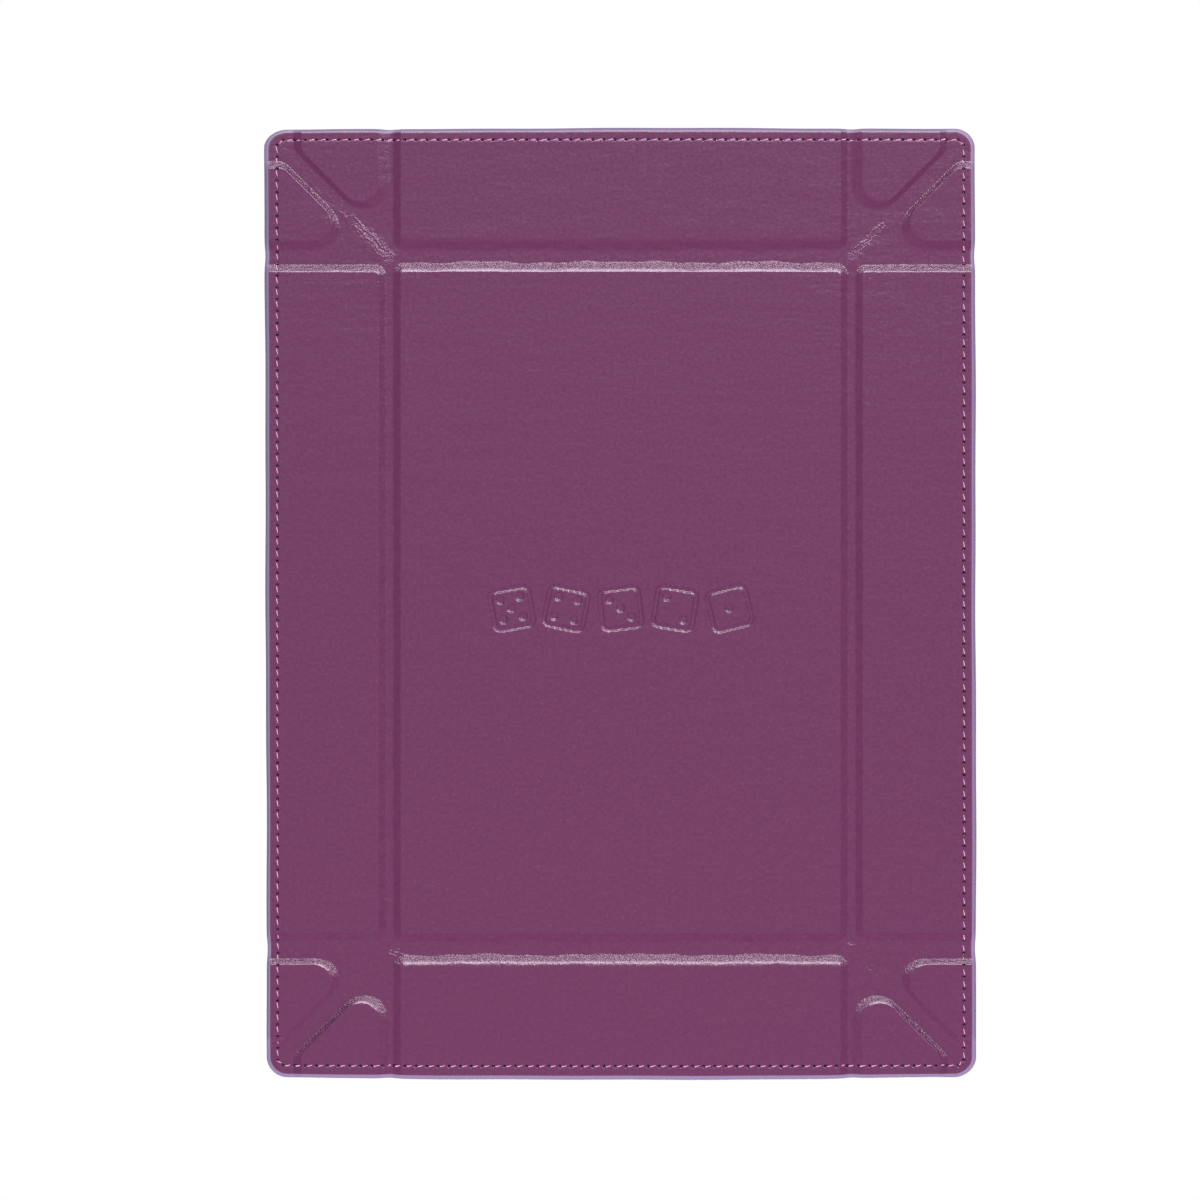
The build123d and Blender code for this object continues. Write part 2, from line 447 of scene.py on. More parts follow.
def hole_grid(holes, low, high):
    """Grid lines that close in on each needle hole, and cover low to high."""
    beside = np.array([-0.5, -0.3, -0.15, 0, 0.15, 0.3, 0.5]) * MM
    middle = (holes[1:] + holes[:-1]) / 2
    spread = np.array([-0.65, 0, 0.65]) * MM
    lines = np.concatenate([(holes[:, None] + beside).ravel(), (middle[:, None] + spread).ravel()])
    return np.unique(np.append(lines[(lines > low) & (lines < high)], (low, high)).round(8))


def patch(columns, rows, low, high, to_outline=False):
    """Column and row of each point of a grid whose rows are cut off at low and high of each column."""
    lower, upper = low(columns)[:, None], high(columns)[:, None]
    if to_outline:
        inner = np.minimum(rows[None, :], upper - rim_offsets[0] - fine)
        rows = np.concatenate([inner, upper - rim_offsets], axis=1)
    else:
        rows = np.broadcast_to(rows, (len(columns), len(rows)))
    rows = np.maximum(np.minimum(rows, upper), lower)
    return np.broadcast_to(columns[:, None], rows.shape), rows


def merged(x, y):
    """Corner numbers of a grid's faces once points at the same place are one, and those points."""
    keys = np.stack([x.ravel(), y.ravel()], 1).round(8)
    points, index = np.unique(keys, axis=0, return_inverse=True)
    index = index.reshape(x.shape)
    quads = np.stack([index[:-1, :-1], index[1:, :-1], index[1:, 1:], index[:-1, 1:]], -1).reshape(-1, 4)
    repeats = quads == np.roll(quads, 1, axis=1)
    whole = quads[~repeats.any(1)]
    triangles = quads[repeats.sum(1) == 1]
    kept = ~repeats[repeats.sum(1) == 1]
    return points, whole, triangles[kept].reshape(-1, 3)


def skin_patch(name, x, y, height, back, outward, finish):
    """A thin closed piece: outer face, back face and the walls between them."""
    points, quads, triangles = merged(x, y)
    first = points[quads[:, 1]] - points[quads[:, 0]]
    second = points[quads[:, 3]] - points[quads[:, 0]]
    turning = np.sign(np.sum(first[:, 0] * second[:, 1] - first[:, 1] * second[:, 0]))
    if turning != outward:
        quads, triangles = quads[:, ::-1], triangles[:, ::-1]
    count = len(points)
    edges = np.concatenate([
        np.stack([face, np.roll(face, -1, axis=1)], -1).reshape(-1, 2) for face in (quads, triangles)
    ])
    code, reverse = edges[:, 0] * count + edges[:, 1], edges[:, 1] * count + edges[:, 0]
    border = edges[~np.isin(code, reverse)]
    walls = np.stack([border[:, 1], border[:, 0], border[:, 0] + count, border[:, 1] + count], -1)

    px, py = points[:, 0], points[:, 1]
    top, under = height(px, py), back(px, py)
    moved_x, moved_y = trimmed(px, py)
    place = np.concatenate([
        np.stack([moved_x, moved_y, top], -1), np.stack([moved_x, moved_y, under], -1)
    ])
    slope_x = (height(px + probe, py) - height(px - probe, py)) / (2 * probe)
    slope_y = (height(px, py + probe) - height(px, py - probe)) / (2 * probe)
    normal = np.stack([-slope_x, -slope_y, np.ones(count)], -1) * outward
    normal /= np.linalg.norm(normal, axis=1)[:, None]

    faces = [quads, triangles, quads[:, ::-1] + count, triangles[:, ::-1] + count, walls]
    corner = place[walls]
    wall_normal = np.cross(corner[:, 1] - corner[:, 0], corner[:, 3] - corner[:, 0])
    wall_normal /= np.maximum(np.linalg.norm(wall_normal, axis=1), 1e-12)[:, None]
    back_normal = np.array([0, 0, -outward], float)
    loops = np.concatenate([
        normal[quads.ravel()],
        normal[triangles.ravel()],
        np.broadcast_to(back_normal, (quads.size + triangles.size, 3)),
        np.repeat(wall_normal, 4, axis=0),
    ])
    mesh = mesh_from(name, place, faces)
    mesh.normals_split_custom_set(loops)
    attribute(mesh, "rest", "FLOAT_VECTOR", np.concatenate([np.stack([px, py, top], -1)] * 2))
    sloping = unit(slope_y * 4) * (edge_distance(px, py) > rim_width)
    sloping = sloping * unit(3 - 3.4 * relief(px, py))
    from_worn = np.hypot(np.abs(px) - crease_x - worn_offset, np.abs(py) - crease_y + worn_offset)
    looks = {
        # paint: the rim's edge paint, whose colour also carries a painted highlight
        "paint": unit(1.6 - edge_distance(px, py) / MM),
        # hole: mask for the painted shade that darkens each needle hole
        "hole": np.exp(-(hole_distance(px, py) / hole_radius) ** 4),
        "slope": np.maximum(sloping, crumpled(px, py)),
        "worn": np.exp(-(from_worn / worn_reach) ** 2),
    }
    for look, values in looks.items():
        attribute(mesh, look, "FLOAT", np.tile(values, 2))
    return new_object(name, mesh, finish)


def crease_wear(x, y):
    """How worn the corner of this quarter of the tray is, 0 to 1."""
    return np.where(y > 0, np.where(x > 0, 1, 0.55), np.where(x > 0, 0.12, 0.3))


def crumpled(x, y):
    """How crumpled the skin is by the pinch crease, most near the crossing, 0 to 1."""
    u, v = np.abs(x) - crease_x, np.abs(y) - crease_y
    across, along = np.abs(v - u) / ROOT2, (u + v) / ROOT2
    near = np.exp(-(across / crumple_half) ** 2)
    fading = 0.25 + 0.75 * unit(1.6 - along / crumple_fade)
    started = unit(1 + along / crumple_start)
    return 0.9 * near * fading * started * (1 - relief(x, y)) * crease_wear(x, y)


def mesh_from(name, place, face_groups):
    """A smooth-shaded mesh from points and arrays of faces, each array with its own corner count."""
    mesh = bpy.data.meshes.new(name)
    sizes = np.concatenate([np.full(len(group), group.shape[1]) for group in face_groups])
    corners = np.concatenate([group.ravel() for group in face_groups])
    mesh.vertices.add(len(place))
    mesh.vertices.foreach_set("co", place.astype(np.float32).ravel())
    mesh.loops.add(len(corners))
    mesh.loops.foreach_set("vertex_index", corners.astype(np.int32))
    mesh.polygons.add(len(sizes))
    mesh.polygons.foreach_set("loop_start", np.concatenate([[0], np.cumsum(sizes)[:-1]]).astype(np.int32))
    mesh.update(calc_edges=True)
    mesh.shade_smooth()
    mesh.validate()
    return mesh


def attribute(mesh, name, kind, values):
    layer = mesh.attributes.new(name, kind, "POINT")
    field = "vector" if kind == "FLOAT_VECTOR" else "value"
    layer.data.foreach_set(field, values.astype(np.float32).ravel())


def new_object(name, mesh, finish):
    piece = bpy.data.objects.new(name, mesh)
    piece.data.materials.append(finish)
    bpy.context.scene.collection.objects.link(piece)
    return piece


# ---- Materials ----
# Edge paint, made lighter and bluer than the leatherette so that it also stands for a painted highlight on
# the rounded rim
edge_paint_and_highlight = (0.12, 0.085, 0.155, 1)


def new_material(name):
    material = bpy.data.materials.new(name)
    material.use_nodes = True
    return material, material.node_tree.nodes["Principled BSDF"]


def add_node(material, kind, settings=None, **inputs):
    """A node of that kind: settings are its own properties, inputs its sockets as values or links."""
    node = material.node_tree.nodes.new(kind)
    for name, value in (settings or {}).items():
        setattr(node, name, value)
    for name, value in inputs.items():
        connect(material, node.inputs[name.replace("_", " ")], value)
    return node


def connect(material, socket, value):
    if isinstance(value, bpy.types.NodeSocket):
        material.node_tree.links.new(value, socket)
    else:
        socket.default_value = value


def connect_each(material, sockets, values):
    for socket, value in zip(sockets, values):
        connect(material, socket, value)


def calculate(material, operation, *values):
    """The result of a maths node."""
    node = add_node(material, "ShaderNodeMath", {"operation": operation})
    connect_each(material, node.inputs, values)
    return node.outputs[0]


def mix_colours(material, factor, first, second):
    node = add_node(material, "ShaderNodeMix", {"data_type": "RGBA"})
    connect_each(material, (node.inputs[0], node.inputs[6], node.inputs[7]), (factor, first, second))
    return node.outputs[2]


def mix_shaders(material, factor, first, second):
    node = add_node(material, "ShaderNodeMixShader")
    connect_each(material, node.inputs, (factor, first, second))
    return node.outputs[0]


def read_attribute(material, name, output="Fac"):
    node = add_node(material, "ShaderNodeAttribute", {"attribute_name": name})
    return node.outputs[output]


def noise(material, vector, size, detail=2.0, roughness=0.5, turn=0, stretch=1):
    """Noise with features of about that size in metres, drawn out along a turned axis."""
    if stretch != 1:
        mapping = add_node(material, "ShaderNodeMapping", None, Vector=vector,
                           Rotation=(0, 0, math.radians(turn)), Scale=(1 / stretch, 1, 1))
        vector = mapping.outputs["Vector"]
    node = add_node(material, "ShaderNodeTexNoise", None,
                    Vector=vector, Scale=1 / size, Detail=detail, Roughness=roughness)
    return node.outputs["Fac"]


def bump(material, height, distance, strength=1.0, normal=None):
    node = add_node(material, "ShaderNodeBump", None, Height=height, Distance=distance, Strength=strength)
    if normal is not None:
        connect(material, node.inputs["Normal"], normal)
    return node.outputs["Normal"]


def remap(material, value, low, high, to_low, to_high):
    node = add_node(material, "ShaderNodeMapRange", None, Value=value, From_Min=low, From_Max=high,
                    To_Min=to_low, To_Max=to_high)
    return node.outputs["Result"]


def finish_material(material, shader, colour, rough, normal, **constants):
    """Links the shader's colour, roughness and normal, and sets its constants."""
    for name, value in (("Base Color", colour), ("Roughness", rough), ("Normal", normal)):
        connect(material, shader.inputs[name], value)
    for name, value in constants.items():
        shader.inputs[name.replace("_", " ")].default_value = value
    return material


def with_edge_highlight_and_hole_shade(material, colour, edge, hole_shade_colour):
    """The skin's colour, with the painted edge (edge paint lightened by a painted highlight) and painted
    shade in the needle holes over it.
    """
    paint = remap(material, edge, 0.45, 0.65, 0, 1)
    # edge paint with its painted highlight, over the skin's colour
    colour = mix_colours(material, paint, colour, edge_paint_and_highlight)
    return mix_colours(material, read_attribute(material, "hole"), colour, hole_shade_colour)


def leatherette():
    """Purple grained leatherette with a painted edge that carries a painted highlight, and painted shade
    in its needle holes.
    """
    material, shader = new_material("leatherette")
    rest = read_attribute(material, "rest", "Vector")
    slope = read_attribute(material, "slope")
    edge = read_attribute(material, "paint")
    wrinkle = noise(material, rest, 0.006, 3, 0.55, 38, 4)
    sag = noise(material, rest, 0.035, 2)
    cells = add_node(material, "ShaderNodeTexVoronoi", {"feature": "SMOOTH_F1"},
                     Vector=rest, Scale=1 / 0.0009, Smoothness=0.6).outputs["Distance"]
    pores = noise(material, rest, 0.0011, 4, 0.65)
    crumple = noise(material, rest, 0.0007, 3, 0.6)
    grain = calculate(material, "ADD", calculate(material, "MULTIPLY", cells, 0.6), pores)
    lines = noise(material, rest, 0.0026, 3, 0.5, 12, 3)
    lined = calculate(material, "MULTIPLY_ADD", read_attribute(material, "worn"), 0.8, 0.15)

    normal = bump(material, sag, 0.0003)
    normal = bump(material, wrinkle, 0.00016, normal=normal)
    normal = bump(material, crumple, 0.00034, strength=slope, normal=normal)
    normal = bump(material, lines, 0.0002, strength=lined, normal=normal)
    normal = bump(material, grain, 0.000035, normal=normal)

    dark = (0.0512, 0.0083, 0.0332, 1)
    light = (0.0618, 0.0106, 0.0405, 1)
    mottle = remap(material, pores, 0.35, 0.65, 0, 1)
    colour = mix_colours(material, mottle, dark, light)
    # near-black painted shade in the needle holes
    colour = with_edge_highlight_and_hole_shade(material, colour, edge, (0.006, 0.003, 0.006, 1))
    rough = remap(material, pores, 0.3, 0.7, 0.2, 0.28)
    rough = calculate(material, "MULTIPLY_ADD", edge, 0.3, rough)
    return finish_material(material, shader, colour, rough, normal, Specular_Tint=(1, 0.88, 1, 1))


def lining():
    """Dark suede-like lining with the same painted edge and painted highlight, and painted shade in its
    needle holes.
    """
    material, shader = new_material("lining")
    rest = read_attribute(material, "rest", "Vector")
    edge = read_attribute(material, "paint")
    nap = noise(material, rest, 0.0006, 3, 0.7, 70, 3)
    brushed = noise(material, rest, 0.012, 3, 0.6, 25, 2.5)
    fibre = noise(material, rest, 0.00025, 2, 0.6, -20, 6)

    normal = bump(material, brushed, 0.0002)
    normal = bump(material, nap, 0.00012, normal=normal)
    normal = bump(material, fibre, 0.00004, normal=normal)
    shade = remap(material, calculate(material, "ADD", brushed, nap), 0.75, 1.25, 0, 1)
    colour = mix_colours(material, shade, (0.034, 0.028, 0.045, 1), (0.074, 0.06, 0.094, 1))
    # near-black painted shade in the needle holes
    colour = with_edge_highlight_and_hole_shade(material, colour, edge, (0.004, 0.003, 0.005, 1))
    rough = remap(material, nap, 0.3, 0.7, 0.78, 0.92)
    return finish_material(material, shader, colour, rough, normal,
                           Sheen_Weight=0.35, Sheen_Roughness=0.45, Sheen_Tint=(0.75, 0.68, 0.9, 1))


def thread():
    """Light pink sewing thread."""
    material, shader = new_material("thread")
    rest = read_attribute(material, "rest", "Vector")
    fibre = noise(material, rest, 0.00012, 3, 0.6)
    colour = mix_colours(material, fibre, (0.23, 0.085, 0.185, 1), (0.5, 0.28, 0.43, 1))
    rough = remap(material, fibre, 0.3, 0.7, 0.6, 0.75)
    normal = bump(material, fibre, 0.00003)
    return finish_material(material, shader, colour, rough, normal, Specular_IOR_Level=0.25)


def greyboard():
    """Pressed paper board with pale fibres."""
    material, shader = new_material("greyboard")
    place = add_node(material, "ShaderNodeTexCoord").outputs["Object"]
    fibre = noise(material, place, 0.0008, 4, 0.7, 15, 5)
    fleck = noise(material, place, 0.0025, 2, 0.6)
    shade = remap(material, calculate(material, "MULTIPLY", fibre, fleck), 0.15, 0.4, 0, 1)
    colour = mix_colours(material, shade, (0.2, 0.17, 0.14, 1), (0.42, 0.38, 0.33, 1))
    rough = remap(material, fibre, 0.3, 0.7, 0.8, 0.95)
    return finish_material(material, shader, colour, rough, bump(material, fibre, 0.00006))


def nickel():
    """Plated magnet with fine scratches."""
    material, shader = new_material("nickel")
    place = add_node(material, "ShaderNodeTexCoord").outputs["Object"]
    scratch = noise(material, place, 0.0002, 3, 0.6, 60, 12)
    cloud = noise(material, place, 0.003, 2)
    colour = mix_colours(material, cloud, (0.55, 0.54, 0.51, 1), (0.74, 0.72, 0.68, 1))
    rough = remap(material, scratch, 0.3, 0.7, 0.2, 0.36)
    normal = bump(material, scratch, 0.000008)
    return finish_material(material, shader, colour, rough, normal, Metallic=1.0)


# ---- Camera, light and floor ----
def set_camera():
    """Straight below the tray, facing its outer face: image up is +Y and image right is -X."""
    camera = bpy.data.objects.new("camera", bpy.data.cameras.new("camera"))
    bpy.context.scene.collection.objects.link(camera)
    camera.data.lens = 200
    camera.data.sensor_width = 36
    view_width = 361.6 * MM
    distance = view_width * camera.data.lens / camera.data.sensor_width
    camera.location = (6.2 * MM, 0.75 * MM, -distance)
    camera.rotation_euler = (0, math.pi, 0)
    camera.data.clip_end = 20
    bpy.context.scene.camera = camera


def area_light(name, place, size, power, colour=(1, 1, 1)):
    """A soft rectangular light that faces the middle of the tray."""
    data = bpy.data.lights.new(name, "AREA")
    data.shape = "RECTANGLE"
    data.size, data.size_y = size
    data.energy = power
    data.color = colour
    light = bpy.data.objects.new(name, data)
    bpy.context.scene.collection.objects.link(light)
    light.location = place
    light.rotation_euler = (-light.location).to_track_quat("-Z", "Y").to_euler()
    return light


def set_lights():
    """Two strips towards +Y that the slopes mirror, dim fills, and two lights over the lining."""
    area_light("strip_below", (-0.3, 1.24, -2.17), (2.4, 0.44), 80, (1, 0.98, 1))
    area_light("high_strip_below", (-0.3, 1.68, -1.85), (2.4, 0.48), 50, (1, 0.98, 1))
    area_light("fill_below", (0, -0.2, -2.6), (2.4, 2.4), 5)
    low_fill = area_light("low_fill_below", (0, -1.0, -0.42), (1.0, 0.4), 24)
    low_fill.visible_glossy = False
    area_light("soft_above", (-0.6, -0.9, 1.6), (1.4, 1.4), 32)
    area_light("fill_above", (1.1, 0.9, 1.5), (1.2, 1.2), 12)


def set_world():
    """White behind the tray, and a dimmer grey for its light."""
    world = bpy.data.worlds.new("studio")
    bpy.context.scene.world = world
    world.use_nodes = True
    nodes = world.node_tree.nodes
    seen = nodes["Background"]
    seen.inputs["Color"].default_value = (1, 1, 1, 1)
    lighting = add_node(world, "ShaderNodeBackground", None, Color=(0.8, 0.82, 0.88, 1), Strength=0.6)
    camera_ray = add_node(world, "ShaderNodeLightPath").outputs["Is Camera Ray"]
    either = mix_shaders(world, camera_ray, lighting.outputs[0], seen.outputs[0])
    connect(world, nodes["World Output"].inputs["Surface"], either)
    bpy.context.scene.view_settings.view_transform = "Standard"


def set_floor():
    """A pale floor under the tray that is seen only from above."""
    reach = 3.0
    drop = -0.2 * MM
    corners = np.array([(x * reach, y * reach, drop) for x, y in ((-1, -1), (1, -1), (1, 1), (-1, 1))])
    material, shader = new_material("floor")
    floor = new_object("floor", mesh_from("floor", corners, [np.array([[0, 1, 2, 3]])]), material)
    place = add_node(material, "ShaderNodeTexCoord").outputs["Object"]
    cloud = noise(material, place, 0.4)
    tone = mix_colours(material, cloud, (0.78, 0.77, 0.75, 1), (0.82, 0.81, 0.79, 1))
    connect(material, shader.inputs["Base Color"], tone)
    shader.inputs["Roughness"].default_value = 0.8
    clear = add_node(material, "ShaderNodeBsdfTransparent").outputs[0]
    side = add_node(material, "ShaderNodeNewGeometry").outputs["Backfacing"]
    either = mix_shaders(material, side, shader.outputs[0], clear)
    connect(material, material.node_tree.nodes["Material Output"].inputs["Surface"], either)
    for ray in ("shadow", "diffuse", "glossy", "transmission"):
        setattr(floor, f"visible_{ray}", False)


# ---- Pieces ----
def outline_at(along, half_along, half_across):
    """How far the sheet's outline is from the middle, at each place along one side."""
    past = np.clip(np.abs(along) - (half_along - sheet_corner), 0, sheet_corner)
    return half_across - sheet_corner + np.sqrt(sheet_corner ** 2 - past ** 2)


def outline_y(x):
    return outline_at(x, half_width, half_length)


def outline_x(y):
    return outline_at(y, half_length, half_width)


def last_before(inside, low, high):
    """The largest value from low to high where inside is still true, for each element."""
    low, high = np.array(low, float), np.array(high, float)
    for _ in range(40):
        middle = (low + high) / 2
        good = inside(middle)
        low, high = np.where(good, middle, low), np.where(good, high, middle)
    return low


def level(value):
    return lambda columns: np.full_like(columns, value)


# Stretches (start, end, step) of closer grid lines.
slopes_x = (
    (centre_high.x - 0.2 * MM, centre_high.x + 2.5 * MM, slope_step_x),
    (side_low.x - 2.5 * MM, side_low.x + 0.2 * MM, slope_step_x),
)
slopes_y = (
    (centre_high.y - 0.2 * MM, centre_high.y + 3.4 * MM, slope_step_y),
    (end_low.y - 3.4 * MM, end_low.y + 0.2 * MM, slope_step_y),
)
stitch_rows_x = (stitch_x - 0.75 * MM, stitch_x + 0.75 * MM, stitch_row_step)
stitch_rows_y = (stitch_y - 0.75 * MM, stitch_y + 0.75 * MM, stitch_row_step)
motif_reach_x = 2 * motif_pitch + 7.5 * MM
motif_reach_y = 8.2 * MM
motif_across = (-motif_reach_x, motif_reach_x, motif_step)
motif_along = (motif_centre_y - motif_reach_y, motif_centre_y + motif_reach_y, motif_step)


def centre_grid(closer_across=(), closer_along=()):
    across = grid_lines(-crease_x - inner_u, crease_x + inner_u, coarse, *closer_across)
    along = grid_lines(-crease_y - inner_v, crease_y + inner_v, coarse, *closer_along)
    return patch(across, along, level(along[0]), level(along[-1]))


def fold_grid(crease, inner, slopes, end_crease, end_inner, closer_reach):
    """The strip at a wall's foot: columns run over its crease, rows along it to end_crease."""
    columns = grid_lines(crease + inner, crease + outer_seam, medium, *slopes)
    columns = np.unique(np.append(columns, crease))

    def reach(place):
        out = place - crease
        return end_crease + np.where(out < 0, end_inner * out / inner, -ear_inset * out / outer_seam)

    rows = grid_lines(-end_crease, end_crease, coarse, (end_crease - closer_reach, end_crease, fine),
                      (-end_crease, -end_crease + closer_reach, fine))
    return patch(columns, rows, lambda c: -reach(c), reach)


def end_fold_grid():
    y, x = fold_grid(crease_y, inner_v, slopes_y, crease_x, inner_u, 5 * MM)
    return x, y


def side_fold_grid():
    return fold_grid(crease_x, inner_u, slopes_x, crease_y, inner_v, 6 * MM)


def end_wall_grid():
    edge = crease_x + inner_u
    columns = hole_grid(end_holes, -edge, edge)
    rows = grid_lines(crease_y + outer_seam, half_length - rim_offsets[0], coarse, stitch_rows_y)
    return patch(columns, rows, level(rows[0]), outline_y, to_outline=True)


def side_wall_grid():
    near_fold = grid_lines(crease_y - 5 * MM, side_wall_end, slope_step_x)
    holes = hole_grid(side_holes, -side_wall_end, side_wall_end)
    columns = np.concatenate([holes, near_fold, -near_fold])
    columns = np.unique(columns.round(6))
    rows = grid_lines(crease_x + outer_seam, half_width - rim_offsets[0], coarse, stitch_rows_x)
    y, x = patch(columns, rows, level(rows[0]), outline_x, to_outline=True)
    return x, y


def ear_fold_grid():
    """The strip between the back wall and its right flap."""
    columns = grid_lines(crease_x + inner_u, crease_x + flap_u, ear_step, *slopes_x)
    columns = np.unique(np.append(columns, crease_x - ear_inset).round(8))

    def start(x):
        u = x - crease_x
        return crease_y + np.where(u < -ear_inset, outer_seam, u + flap_seam)

    rows = grid_lines(crease_y + outer_seam, half_length - rim_offsets[0], medium, stitch_rows_y)
    return patch(columns, rows, start, outline_y, to_outline=True)


def end_flap_grid():
    """The flap beside the back wall: columns run out X, rows up Y."""
    last = last_before(lambda u: crease_y + u + flap_seam < outline_y(crease_x + u), flap_u, patch_end)
    near = (crease_x + flap_u, crease_x + float(last))
    columns = np.concatenate([grid_lines(*near, medium), hole_grid(end_holes, *near)])
    columns = np.unique(columns.round(5))
    rows = grid_lines(crease_y + flap_u + flap_seam, half_length - rim_offsets[0], medium, stitch_rows_y)
    return patch(columns, rows, lambda c: crease_y + c - crease_x + flap_seam, outline_y, to_outline=True)


def side_flap_grid():
    """The flap beside the right wall: columns run up Y, rows out X."""
    last = last_before(lambda v: crease_x + v + flap_seam < outline_x(crease_y + v), 0, patch_end)
    near = (side_wall_end, crease_y + float(last))
    columns = np.concatenate([grid_lines(*near, medium, *slopes_y), hole_grid(side_holes, *near)])
    columns = np.unique(columns.round(5))
    rows = grid_lines(crease_x + outer_seam, half_width - rim_offsets[0], medium, stitch_rows_x)
    y, x = patch(columns, rows, lambda c: crease_x + c - crease_y + flap_seam, outline_x, to_outline=True)
    return x, y


def pinch_fold_grid():
    """The strip over the pinch crease: columns run across it, rows along it."""
    reach = flap_seam / ROOT2
    columns = grid_lines(-reach, reach, pinch_step)
    columns = np.unique(np.append(columns, 0.0))
    start_slope = (flap_seam - 2 * ear_inset) / flap_seam

    def end(n):
        def inside(s):
            x, y = crease_x + (s - n) / ROOT2, crease_y + (s + n) / ROOT2
            return edge_distance(x, y) > 0
        return last_before(inside, np.full_like(n, 20 * MM), np.full_like(n, 60 * MM))

    rows = grid_lines(0, 50 * MM, fine)
    n, s = patch(columns, rows, lambda c: start_slope * np.abs(c), end, to_outline=True)
    return crease_x + (s - n) / ROOT2, crease_y + (s + n) / ROOT2


def both_skins(name, grid, side_x, side_y, place, lining_grid=None):
    """A patch of leatherette and one of lining, each set on its body by place."""
    x, y = side_x * grid[0], side_y * grid[1]
    leather = skin_patch(f"leatherette_{name}", x, y, leather_height, leather_back, -1, leather_finish)
    if lining_grid:
        x, y = side_x * lining_grid[0], side_y * lining_grid[1]
    inside = skin_patch(f"suede_{name}", x, y, lining_height, lining_back, 1, lining_finish)
    place(leather)
    place(inside)
    return leather, inside


def riding(body):
    return lambda piece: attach(piece, body)


def bending():
    return lambda piece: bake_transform(piece)


def stand_for(skins, name, fold_skins=((), ())):
    """The leatherette and lining patches stand for the CAD cover and lining of that panel."""
    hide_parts(f"cover_{name}")
    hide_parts(f"lining_{name}")
    for skin, fold_skin in zip(skins, fold_skins):
        declare_sheet(skin)


def declare_sheet(skin):
    """Reads the points of this panel's share of the sheet; nothing is made from them."""
    place = np.empty(3 * len(skin.data.vertices))
    skin.data.vertices.foreach_get("co", place)


def make_wall(name, fold, wall, sides):
    """A wall's skins, and those of the fold at its foot, which is left where it is set."""
    fold_place = bending()
    fold_skins = both_skins(f"{name}_fold", fold, *sides, fold_place)
    stand_for(both_skins(f"{name}_wall", wall, *sides, riding(f"{name}_wall")), name, fold_skins)


def make_skins():
    pressed, plain = centre_grid([motif_across], [motif_along]), centre_grid()
    centre = both_skins("centre", pressed, 1, 1, riding("centre_panel"), plain)
    stand_for(centre, "centre")
    end_fold, end_wall = end_fold_grid(), end_wall_grid()
    side_fold, side_wall = side_fold_grid(), side_wall_grid()
    ear_fold, end_flap = ear_fold_grid(), end_flap_grid()
    pinch_fold, side_flap = pinch_fold_grid(), side_flap_grid()
    for end, sy in ENDS:
        make_wall(end, end_fold, end_wall, (1, sy))
    for flank, sx in FLANKS:
        make_wall(flank, side_fold, side_wall, (sx, 1))
    for end, flank, sx, sy in CORNERS:
        outer, inner = f"{end}_flap_{flank}", f"{flank}_flap_{end}"
        fold_skins = both_skins(f"{outer}_fold", ear_fold, sx, sy, ear_bend())
        stand_for(both_skins(outer, end_flap, sx, sy, riding(outer)), outer, fold_skins)
        pinch_skins = both_skins(f"{outer}_pinch", pinch_fold, sx, sy, pinch_bend())
        stand_for(both_skins(inner, side_flap, sx, sy, riding(inner)), inner, pinch_skins)


def ear_bend():
    return bending()


def pinch_bend():
    return bending()


# ---- Fillers that show only when the tray is folded ----
def make_corner_filler(end, flank, sx, sy):
    """A quarter-round under the crossing that closes the corner between the two folded walls."""
    radius = 1.6 * MM
    centre_z = wall_axis_height - 0.05 * MM
    steps = 8
    turn = np.linspace(0, math.pi / 2, steps + 1)
    path = [(inner_u, 0, 0), *[(0, 0, a) for a in turn], (0, inner_v, math.pi / 2)]
    section = [(0, 0), *[(radius * math.sin(a), -radius * math.cos(a)) for a in turn]]
    place = np.array([
        (sx * (crease_x + u + out * math.sin(a)), sy * (crease_y + v + out * math.cos(a)), centre_z + down)
        for u, v, a in path for out, down in section
    ])
    name = f"{end}_{flank}_corner_filler"
    filler = swept_solid(name, place, len(path), len(section), sx * sy < 0, leather_finish)
    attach(filler, "centre_panel")


def make_crease_filler(end, flank, sx, sy):
    """The lining's quarter-round between a side wall and the flap folded from it."""
    radius = 1.65 * MM
    steps = 6
    fan = np.linspace(0, math.pi / 4, steps + 1)
    section = [(0, 0), *[(radius * math.sin(a), radius * math.cos(a)) for a in fan]]
    path = np.linspace(crease_x + outer_seam, half_width - 0.6 * MM, 12)
    place = np.array([
        (sx * x, sy * (side_wall_end + out), leather_thickness + up)
        for x in path for out, up in section
    ])
    name = f"{end}_{flank}_crease_filler"
    filler = swept_solid(name, place, len(path), len(section), sx * sy > 0, lining_finish)
    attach(filler, f"{flank}_wall")


def tube_faces(first, stations, corners):
    """A capped tube's faces: its sides and its two caps, for points numbered on from first."""
    index = first + np.arange(stations * corners).reshape(stations, corners)
    after = np.roll(index, -1, axis=1)
    sides = np.stack([index[:-1], after[:-1], after[1:], index[1:]], -1).reshape(-1, 4)
    return [sides, index[:1, ::-1], index[-1:]]


def swept_solid(name, place, stations, corners, flip, finish):
    """A closed solid through equal closed sections, one per station."""
    faces = tube_faces(0, stations, corners)
    if flip:
        faces = [face[:, ::-1] for face in faces]
    mesh = mesh_from(name, place, faces)
    mesh.set_sharp_from_angle(angle=math.radians(35))
    attribute(mesh, "rest", "FLOAT_VECTOR", place)
    return new_object(name, mesh, finish)


# ---- Stitches ----
def hole_loop():
    """Every needle hole in order round the sheet."""
    half = [(stitch_x, y) for y in side_holes] + [(x, stitch_y) for x in end_holes[::-1]]
    return half + [(-x, -y) for x, y in half]


